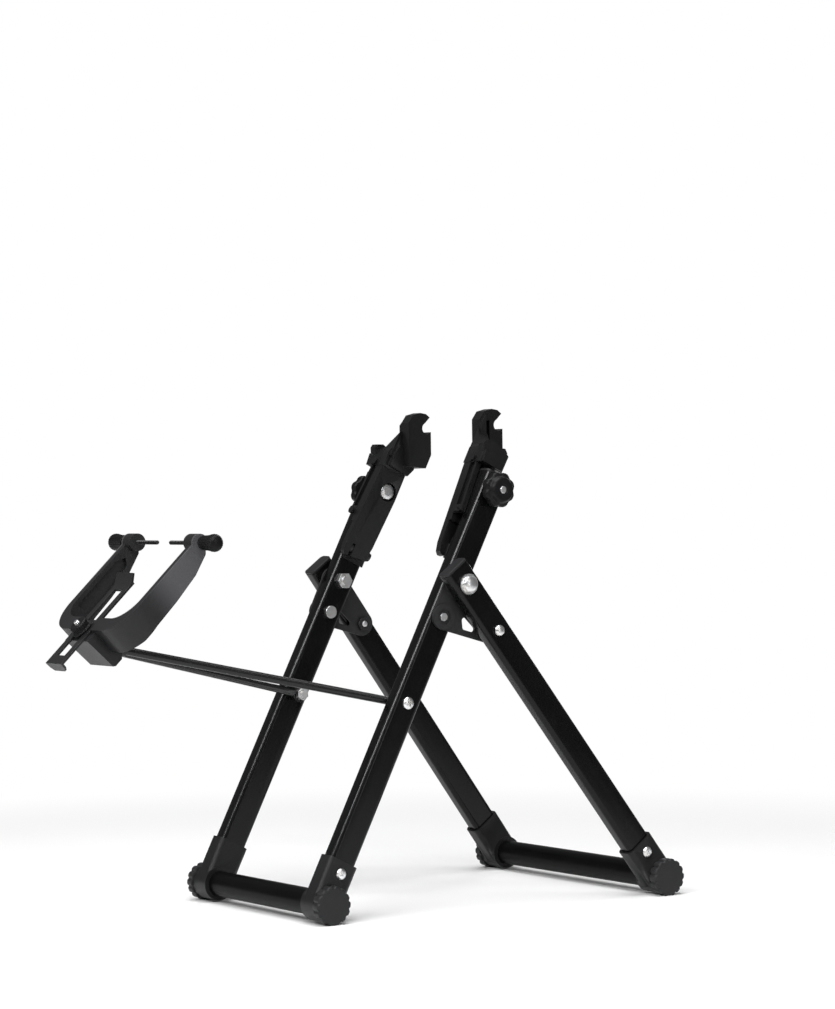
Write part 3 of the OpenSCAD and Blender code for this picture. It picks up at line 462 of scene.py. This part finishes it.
class Growth(Tree):
    """A geometry tree with named inputs that ends in plain mesh and one material"""

    def __init__(self, name, **inputs):
        self.group = bpy.data.node_groups.new(name, "GeometryNodeTree")
        super().__init__(self.group)
        sides = self.group.interface
        sides.new_socket("Geometry", in_out="INPUT", socket_type="NodeSocketGeometry")
        for label, kind in inputs.items():
            sides.new_socket(label, in_out="INPUT", socket_type="NodeSocket" + kind)
        sides.new_socket("Material", in_out="INPUT", socket_type="NodeSocketMaterial")
        sides.new_socket("Geometry", in_out="OUTPUT", socket_type="NodeSocketGeometry")
        self.start = self.add("NodeGroupInput")

    def given(self, name):
        return self.start.output(name)

    def close(self, shape):
        plain = self.add("GeometryNodeRealizeInstances", None, {"Geometry": shape})
        dressed = self.add(
            "GeometryNodeSetMaterial", None,
            {"Geometry": plain, "Material": self.given("Material")})
        self.add("NodeGroupOutput", None, {"Geometry": dressed})
        return self.group


def turning_tree():
    """Turns an outline about Z, with flutes cut into its rim"""
    tree = Growth(
        "turning", Around="Int", Flutes="Int", Depth="Float", Sharpness="Float",
        Phase="Float", Bare="Float", Inner="Float", Outer="Float")
    outline = tree.given("Geometry")
    count = tree.add(
        "GeometryNodeAttributeDomainSize", {"component": "MESH"}, {"Geometry": outline},
        out="Point Count")
    grid = tree.add(
        "GeometryNodeMeshGrid", None,
        {"Size X": 1.0, "Size Y": 1.0, "Vertices X": tree.given("Around") + 1,
         "Vertices Y": count},
        out="Mesh")
    place = tree.add("GeometryNodeInputPosition")
    across, along, _ = place.parts()
    index = ((along + 0.5) * (count - 1)).rounded()
    spot = tree.add(
        "GeometryNodeSampleIndex", {"data_type": "FLOAT_VECTOR", "domain": "POINT"},
        {"Geometry": outline, "Value": tree.add("GeometryNodeInputPosition"), "Index": index})
    radius, _, height = spot.parts()
    angle = (across + 0.5) * math.tau
    wave = ((angle * tree.given("Flutes") + tree.given("Phase")).cosine() + 1.0) * 0.5
    flute = wave ** tree.given("Sharpness")
    rim = radius.above(tree.given("Inner"), tree.given("Outer"))
    bare = angle.lesser(math.tau - angle).above(tree.given("Bare") - 0.02, tree.given("Bare"))
    reach = radius - tree.given("Depth") * flute * rim * bare
    around = tree.add(
        "ShaderNodeCombineXYZ", None,
        {"X": reach * angle.cosine(), "Y": reach * angle.sine(), "Z": height})
    moved = tree.add("GeometryNodeSetPosition", None, {"Geometry": grid, "Position": around})
    merged = tree.add("GeometryNodeMergeByDistance", None, {"Geometry": moved, "Distance": WELD})
    return tree.close(merged)


def thread_tree():
    """Winds a thread around a shank that stands on Z"""
    tree = Growth(
        "thread", From="Float", Length="Float", Core="Float", Crest="Float", Pitch="Float")
    half = (tree.given("Crest") - tree.given("Core")) * 0.5
    middle = tree.given("Core") + half
    coil = tree.add(
        "GeometryNodeCurveSpiral", None,
        {"Resolution": 20, "Rotations": tree.given("Length") / tree.given("Pitch"),
         "Start Radius": middle, "End Radius": middle, "Height": tree.given("Length")})
    level = tree.add("GeometryNodeSetCurveNormal", {"mode": "Z_UP"}, {"Curve": coil})
    tooth = tree.add("GeometryNodeCurvePrimitiveCircle", None, {"Resolution": 4, "Radius": half})
    ridge = tree.add(
        "GeometryNodeCurveToMesh", None,
        {"Curve": level, "Profile Curve": tooth, "Fill Caps": True})
    raised = tree.add(
        "GeometryNodeTransform", None,
        {"Geometry": ridge,
         "Translation": tree.add("ShaderNodeCombineXYZ", None, {"Z": tree.given("From")})})
    joined = tree.add(
        "GeometryNodeJoinGeometry", None, {"Geometry": [tree.given("Geometry"), raised]})
    return tree.close(joined)


def seats_tree():
    """Sets a fastener on every point, along the point's aim"""
    tree = Growth("seats", Fastener="Object")
    aim = tree.add(
        "GeometryNodeInputNamedAttribute", {"data_type": "FLOAT_VECTOR"}, {"Name": "aim"})
    turn = tree.add("FunctionNodeAlignRotationToVector", {"axis": "Z"}, {"Vector": aim})
    fastener = tree.add(
        "GeometryNodeObjectInfo", None, {"Object": tree.given("Fastener")}, out="Geometry")
    placed = tree.add(
        "GeometryNodeInstanceOnPoints", None,
        {"Points": tree.given("Geometry"), "Instance": fastener, "Rotation": turn})
    return tree.close(placed)


GROWTHS = {}


def grown(name, tree_name, start, slot_name, values):
    """A piece that a geometry tree grows from a start mesh"""
    piece = object_of(name, start)
    grow = piece.modifiers.new("grow", "NODES")
    grow.node_group = GROWTHS[tree_name]
    values = {**values, "Material": FINISHES[slot_name]}
    for socket in grow.node_group.interface.items_tree:
        if socket.item_type == "SOCKET" and socket.in_out == "INPUT" and socket.name in values:
            grow[socket.identifier] = values[socket.name]
    return settle(piece)


def outline_mesh(points):
    """A chain of points in the XZ plane, given in millimetres as radius and height"""
    mesh = bpy.data.meshes.new("outline")
    mesh.from_pydata([(r * MM, 0, z * MM) for r, z in points], [], [])
    return mesh


def rounded(points, radius):
    """The same outline with its corners rounded, each by less than half of its sides"""
    steps, most = 3, 0.45
    made = [points[0]]
    for before, corner, after in zip(points, points[1:], points[2:]):
        before, corner, after = Vector(before), Vector(corner), Vector(after)
        into, out = before - corner, after - corner
        cut = min(radius, into.length * most, out.length * most)
        first, last = corner + into.normalized() * cut, corner + out.normalized() * cut
        for step in range(steps + 1):
            t = step / steps
            made.append(tuple(first * (1 - t) ** 2 + corner * 2 * t * (1 - t) + last * t ** 2))
    made.append(points[-1])
    return made


def frame_at(point, aim, across):
    """Matrix that stands Z along the aim and X along across"""
    up = Vector(aim).normalized()
    x = Vector(across)
    x = (x - up * x.dot(up)).normalized()
    y = up.cross(x)
    return Matrix((
        (x.x, y.x, up.x, point[0]),
        (x.y, y.y, up.y, point[1]),
        (x.z, y.z, up.z, point[2]),
        (0, 0, 0, 1)))


def set_down(piece, matrix, degrees):
    """Moves a piece's mesh into place, keeps it above the floor and faces it outwards"""
    shape = bmesh.new()
    shape.from_mesh(piece.data)
    shape.transform(matrix)
    bmesh.ops.remove_doubles(shape, verts=shape.verts, dist=WELD)
    for vertex in shape.verts:
        vertex.co.z = max(vertex.co.z, 0)
    bmesh.ops.recalc_face_normals(shape, faces=shape.faces)
    shape.to_mesh(piece.data)
    shape.free()
    smooth(piece.data, degrees)


def turned(node, outline, matrix, around, flutes, depth, sharpness, inner, outer,
           phase=0.0, bare=0.0):
    """A turned and fluted piece that stands for a node"""
    piece = grown(node + "_turned", "turning", outline_mesh(outline), SLOT_OF[node], {
        "Around": around, "Flutes": flutes, "Depth": depth, "Sharpness": sharpness,
        "Phase": phase, "Bare": bare, "Inner": inner * MM, "Outer": outer * MM})
    set_down(piece, matrix, 40)
    keep(piece, node)


def plain_turned(name, outline, slot_name, around):
    """A turned piece without flutes, still at the origin"""
    return grown(name, "turning", outline_mesh(outline), slot_name, {
        "Around": around, "Flutes": 1, "Outer": 1.0})


def box_of(node, left_only=False):
    """Lowest and highest corner of a node, or of its left half"""
    points = [v.co for v in CAD[node].data.vertices if v.co.y > 0 or not left_only]
    low = Vector([min(p[i] for p in points) for i in range(3)])
    high = Vector([max(p[i] for p in points) for i in range(3)])
    return low, high


def inner_end(node):
    """Where a node on one side begins, which way it points outwards, and its reach in mm"""
    low, high = box_of(node)
    way = 1 if low.y > 0 else -1
    place = ((low.x + high.x) / 2, low.y if way > 0 else high.y, (low.z + high.z) / 2)
    return place, (0, way, 0), (high.y - low.y) / MM


def threaded(node, outline, around, matrix, start, length, inner, crest, pitch):
    """A shank with a thread wound around it, which stands for a node"""
    core = plain_turned(node + "_core", outline, SLOT_OF[node], around)
    piece = grown(node + "_thread", "thread", core.data.copy(), SLOT_OF[node], {
        "From": start * MM, "Length": length * MM, "Core": inner * MM, "Crest": crest * MM,
        "Pitch": pitch})
    bpy.data.objects.remove(core)
    set_down(piece, matrix, 30)
    keep(piece, node)


def on_seats(name, slot_name, fastener, middle, aim):
    """One copy of a fastener on each side of the stand, along its aim"""
    seats = bpy.data.meshes.new("seats")
    seats.from_pydata([middle, middle * Vector((1, -1, 1))], [], [])
    aims = seats.attributes.new("aim", "FLOAT_VECTOR", "POINT")
    for item, way in zip(aims.data, (1, -1)):
        item.vector = aim * Vector((1, way, 1))
    piece = grown(name, "seats", seats, slot_name, {"Fastener": fastener})
    bpy.data.objects.remove(fastener)
    return piece


def seated(node, edge):
    """A pair of like fasteners, set on their seats, that stands for a node"""
    low, high = box_of(node, left_only=True)
    middle = (low + high) / 2
    aim = Vector((0, 1, 0))
    shape = bmesh.new()
    shape.from_mesh(merged_copy(node))
    bmesh.ops.delete(shape, geom=[v for v in shape.verts if v.co.y < 0], context="VERTS")
    shape.transform(Matrix.Translation(-middle))
    shape.transform(aim.rotation_difference(Vector((0, 0, 1))).to_matrix().to_4x4())
    fastener = object_of("fastener", mesh_from(shape, "fastener"))
    round_edges(fastener, edge)
    keep(on_seats(node + "_pair", SLOT_OF[node], fastener, middle, aim), node)


# ---- operators ----

class STAND_OT_tubes(bpy.types.Operator):
    """Uprights, legs and crossbars"""

    bl_idname = "stand.tubes"
    bl_label = "Tubes"

    def execute(self, context):
        shape = context.scene.stand_shape
        for side in SIDES:
            for node in ("upright_", "leg_"):
                softened(node + side, shape.sheet_edge)
            for node in ("upright_plug_", "leg_cap_"):
                softened(node + side, shape.moulded_edge)
        for node in ("front_crossbar", "rear_crossbar"):
            softened(node, shape.sheet_edge)
        return {"FINISHED"}


class STAND_OT_corners(bpy.types.Operator):
    """Corner pieces and foot caps"""

    bl_idname = "stand.corners"
    bl_label = "Corner pieces and feet"

    def execute(self, context):
        shape = context.scene.stand_shape
        for end in ("front", "rear"):
            for side in SIDES:
                softened(f"{end}_corner_{side}", shape.moulded_edge)
                self.foot(f"{end}_foot_{side}", shape)
        return {"FINISHED"}

    def foot(self, node, shape):
        stem, centre_height = 8, 16
        place, outwards, _ = inner_end(node)
        place = (place[0], place[1] + outwards[1] * stem * MM, centre_height * MM)
        outline = rounded([
            (0, -stem), (8, -stem), (8, 0), (13.8, 0), (13.8, 1.2), (16.4, 1.5),
            (16.4, 8.6), (15.2, 9.6), (14.2, 9.75), (0, 10)], 0.5)
        turned(
            node, outline, frame_at(place, outwards, (0, 0, -1)), around=252,
            flutes=shape.foot_scallops, depth=shape.scallop_depth, sharpness=3.0,
            inner=13.9, outer=15.0, bare=math.pi / shape.foot_scallops)


class STAND_OT_hinges(bpy.types.Operator):
    """Hinge plates with their bolts and nuts"""

    bl_idname = "stand.hinges"
    bl_label = "Leg hinges"

    def execute(self, context):
        shape = context.scene.stand_shape
        for side in SIDES:
            softened(f"hinge_plate_{side}", shape.sheet_edge)
        for node in ("pivot_bolts", "pivot_nuts", "plate_bolts", "lock_bolts", "lock_nuts"):
            seated(node, shape.sheet_edge)
        for node in ("front_corner_screws", "rear_corner_screws"):
            seated(node, shape.sheet_edge * 0.5)
        self.bolt_ends("lock_nuts")
        return {"FINISHED"}

    def bolt_ends(self, node):
        """Bright ends of the bolts, just proud of their dark nuts"""
        low, high = box_of(node, left_only=True)
        middle = Vector(((low.x + high.x) / 2, low.y, (low.z + high.z) / 2))
        outline = rounded([(0, -1), (2.7, -1), (2.7, 0.6), (2.2, 1.1), (0, 1.2)], 0.3)
        end = plain_turned(node + "_end", outline, "zinc_steel", 32)
        piece = on_seats(node + "_ends", "zinc_steel", end, middle, Vector((0, -1, 0)))
        set_down(piece, Matrix(), 35)
        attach(piece, BODY_OF[node])


class STAND_OT_arms(bpy.types.Operator):
    """Axle arms with their brackets, pins and width bolts"""

    bl_idname = "stand.arms"
    bl_label = "Axle arms"

    def execute(self, context):
        shape = context.scene.stand_shape
        for side in SIDES:
            softened(f"axle_arm_{side}", shape.moulded_edge)
            softened(f"arm_saddle_{side}", shape.sheet_edge)
            self.width_bolt(f"width_bolt_{side}")
            self.width_knob(f"width_knob_{side}", shape)
        softened("arm_pins", shape.sheet_edge)
        return {"FINISHED"}

    def width_knob(self, node, shape):
        place, outwards, _ = inner_end(node)
        outline = rounded([
            (3.45, 0), (7.8, 0), (8.1, 2.9), (14.2, 3.1), (15.4, 4.4), (15.4, 9.4), (14.2, 10.8),
            (11.8, 11.4), (10.9, 13.4), (9.6, 15), (4.4, 15), (3.45, 14.4), (3.45, 0)], 1.0)
        lean = math.radians(27)
        turned(
            node, outline, frame_at(place, outwards, (math.cos(lean), 0, -math.sin(lean))),
            around=192, flutes=shape.width_lobes, depth=0.0014, sharpness=1.5,
            inner=12, outer=14, phase=math.pi)

    def width_bolt(self, node):
        place, outwards, reach = inner_end(node)
        outline = rounded([
            (0, 0), (3.8, 0.05), (6.5, 0.65), (7.6, 1.8), (7.6, 3), (3.1, 3), (3.1, reach - 0.4),
            (2.8, reach), (0, reach)], 0.3)
        threaded(
            node, outline, 48, frame_at(place, outwards, (1, 0, 0)),
            start=3.2, length=reach - 3.7, inner=3.1, crest=3.39, pitch=0.001)


class STAND_OT_gauge(bpy.types.Operator):
    """Gauge fork, rods, slider, feelers and their knobs"""

    bl_idname = "stand.gauge"
    bl_label = "Gauge"

    def execute(self, context):
        shape = context.scene.stand_shape
        softened("gauge_fork", shape.moulded_edge)
        softened("radial_slider", shape.sheet_edge)
        self.clamp(shape)
        for node in ("rod_bolts", "rod_nuts"):
            seated(node, shape.sheet_edge)
        for side in SIDES:
            softened(f"gauge_rod_{side}", shape.sheet_edge)
            self.feeler_screw(f"feeler_screw_{side}", shape)
            self.feeler_knob(f"feeler_knob_{side}", shape)
        return {"FINISHED"}

    def clamp(self, shape):
        joint = next(j for j in frame["record"]["behaviour"]["joints"] if j["name"] == "clamp_turn")
        up = Vector(joint["axis"])
        middle = Vector(joint["pos_m"])
        knob_below, bolt_below = 0.7, 16.7
        seat = middle + up * -knob_below * MM
        outline = rounded([
            (2.55, 0), (9.6, 0), (9.6, 1.2), (8.2, 1.9), (8.2, 6.3), (6.8, 7.6), (3.2, 7.6),
            (2.55, 7.2), (2.55, 0)], 0.45)
        turned(
            "clamp_knob", outline, frame_at(seat, up, (0, 1, 0)), around=240,
            flutes=shape.clamp_ribs, depth=0.0004, sharpness=2.0, inner=7.2, outer=8.0)
        foot = middle + up * -bolt_below * MM
        outline = rounded([(0, 0), (2.2, 0), (2.2, 25.3), (1.9, 25.7), (0, 25.7)], 0.2)
        threaded(
            "clamp_bolt", outline, 40, frame_at(foot, up, (0, 1, 0)),
            start=0.3, length=24.8, inner=2.2, crest=2.49, pitch=0.0008)

    def feeler_screw(self, node, shape):
        place, outwards, reach = inner_end(node)
        outline = rounded([
            (0, 0), (0.95, 0), (1.5, 1.1), (1.5, reach - 0.3), (1.2, reach), (0, reach)], 0.25)
        threaded(
            node, outline, 32, frame_at(place, outwards, (1, 0, 0)),
            start=1.4, length=reach - 2, inner=1.5, crest=1.79, pitch=shape.thread_pitch)

    def feeler_knob(self, node, shape):
        place, outwards, _ = inner_end(node)
        outline = rounded([
            (0, 6.3), (1.85, 6.3), (1.85, 0), (5.6, 0), (6.1, 0.8), (6.3, 8), (6.8, 13.6),
            (7.4, 16.6), (7.4, 19.2), (6.4, 21.4), (4.4, 22.9), (1.8, 23.45), (0, 23.5)], 1.2)
        turned(
            node, outline, frame_at(place, outwards, (1, 0, 0)), around=260,
            flutes=shape.feeler_ribs, depth=0.0004, sharpness=1.6, inner=5.8, outer=6.2)


class STAND_OT_stage(bpy.types.Operator):
    """Floor, world, lamps and camera"""

    bl_idname = "stand.stage"
    bl_label = "Stage"

    # Camera as the picture was taken: place in metres, turn in degrees
    camera_place = (-1.3811, -2.2086, 0.3485)
    azimuth = -33.617
    elevation = 0.084
    roll = -0.791
    lens = 107.48

    def execute(self, context):
        scene = context.scene
        scene.view_settings.view_transform = "Standard"
        self.make_floor()
        self.make_world(scene)
        self.make_lamps(scene)
        self.make_camera(scene)
        return {"FINISHED"}

    def make_camera(self, scene):
        data = bpy.data.cameras.new("camera")
        data.lens = self.lens
        data.sensor_width = 36
        data.clip_end = 50
        camera = object_of("camera", data)
        a, e = math.radians(self.azimuth), math.radians(self.elevation)
        back = Vector((math.sin(a) * math.cos(e), -math.cos(a) * math.cos(e), math.sin(e)))
        across = Vector((0, 0, 1)).cross(back).normalized()
        upward = back.cross(across)
        turn = Matrix.Rotation(math.radians(self.roll), 3, back)
        across, upward = turn @ across, turn @ upward
        camera.matrix_world = Matrix.Translation(self.camera_place) @ Matrix((
            (across.x, upward.x, back.x, 0),
            (across.y, upward.y, back.y, 0),
            (across.z, upward.z, back.z, 0),
            (0, 0, 0, 1)))
        scene.camera = camera

    def make_floor(self):
        """Pale floor that runs into white for the camera, and into grey for the lamps"""
        shape = bmesh.new()
        bmesh.ops.create_grid(shape, x_segments=1, y_segments=1, size=9)
        floor = object_of("floor", mesh_from(shape, "floor"))
        finish = Finish("floor")
        radius = finish.add(
            "ShaderNodeVectorMath", {"operation": "LENGTH"}, {0: finish.place}, out="Value")
        camera_ray = finish.add("ShaderNodeLightPath", out="Is Camera Ray")
        near = finish.blend(finish.noise(3, 2), grey(0.86), grey(0.9))
        tone = finish.blend(radius.above(0.5, 1.6), near, grey(0.3))
        matt = finish.add("ShaderNodeBsdfDiffuse", None, {"Color": tone})
        bright = finish.add("ShaderNodeEmission", None, {"Color": grey(1), "Strength": 1.0})
        seen = camera_ray * radius.above(0.35, 1.1)
        mixed = finish.add("ShaderNodeMixShader", None, {0: seen, 1: matt, 2: bright})
        finish.add("ShaderNodeOutputMaterial", None, {"Surface": mixed})
        floor.data.materials.append(finish.material)

    def make_world(self, scene):
        """White for the camera, and a faint fill for everything else"""
        world = bpy.data.worlds.new("world")
        world.use_nodes = True
        scene.world = world
        tree = Tree(world.node_tree)
        tree.nodes.clear()
        camera_ray = tree.add("ShaderNodeLightPath", out="Is Camera Ray")
        glossy_ray = camera_ray.output("Is Glossy Ray")
        strength = 0.1 + camera_ray * 0.9 + glossy_ray * 0.08
        light = tree.add("ShaderNodeBackground", None, {"Color": grey(1), "Strength": strength})
        tree.add("ShaderNodeOutputWorld", None, {"Surface": light})

    def make_lamps(self, scene):
        target = Vector((0, 0, 0.22))
        # Name, place and size in metres, power in watts
        lamps = (
            ("key", (-0.2, -0.4, 2.6), (1.6, 1.6), 50),
            ("edge_strip", (-1.5, -1.2, 1.7), (2.8, 0.2), 52),
            ("side_strip", (-2.2, 0.9, 0.9), (0.25, 1.9), 8),
            ("front_strip", (0.5, -2.6, 0.9), (0.3, 1.9), 8),
            ("back_strip", (1.8, 1.6, 1.3), (0.4, 2.0), 14),
        )
        for name, place, size, power in lamps:
            data = bpy.data.lights.new(name, "AREA")
            data.shape = "RECTANGLE"
            data.size, data.size_y = size
            data.energy = power
            lamp = object_of(name, data)
            lamp.location = place
            lamp.rotation_euler = (target - Vector(place)).to_track_quat("-Z", "Y").to_euler()


class STAND_PT_panel(bpy.types.Panel):
    """Pieces and settings of the truing stand"""

    bl_idname = "STAND_PT_panel"
    bl_label = "Truing stand"
    bl_space_type = "VIEW_3D"
    bl_region_type = "UI"
    bl_category = "Truing stand"

    def draw(self, context):
        column = self.layout.column()
        for settings in (context.scene.stand_finish, context.scene.stand_shape):
            for name in settings.bl_rna.properties.keys():
                if name not in ("rna_type", "name"):
                    column.prop(settings, name)
        for operator in OPERATORS:
            column.operator(operator.bl_idname)


OPERATORS = (
    STAND_OT_tubes,
    STAND_OT_corners,
    STAND_OT_hinges,
    STAND_OT_arms,
    STAND_OT_gauge,
    STAND_OT_stage,
)
CLASSES = (FinishSettings, ShapeSettings, *OPERATORS, STAND_PT_panel)


def register():
    for kind in CLASSES:
        bpy.utils.register_class(kind)
    bpy.types.Scene.stand_finish = PointerProperty(type=FinishSettings)
    bpy.types.Scene.stand_shape = PointerProperty(type=ShapeSettings)


def unregister():
    del bpy.types.Scene.stand_finish
    del bpy.types.Scene.stand_shape
    for kind in reversed(CLASSES):
        bpy.utils.unregister_class(kind)


def main():
    register()
    FINISHES.update(make_finishes(bpy.context.scene.stand_finish))
    GROWTHS.update(turning=turning_tree(), thread=thread_tree(), seats=seats_tree())
    for operator in OPERATORS:
        family, name = operator.bl_idname.split(".")
        getattr(getattr(bpy.ops, family), name)()


if __name__ == "__main__":
    main()
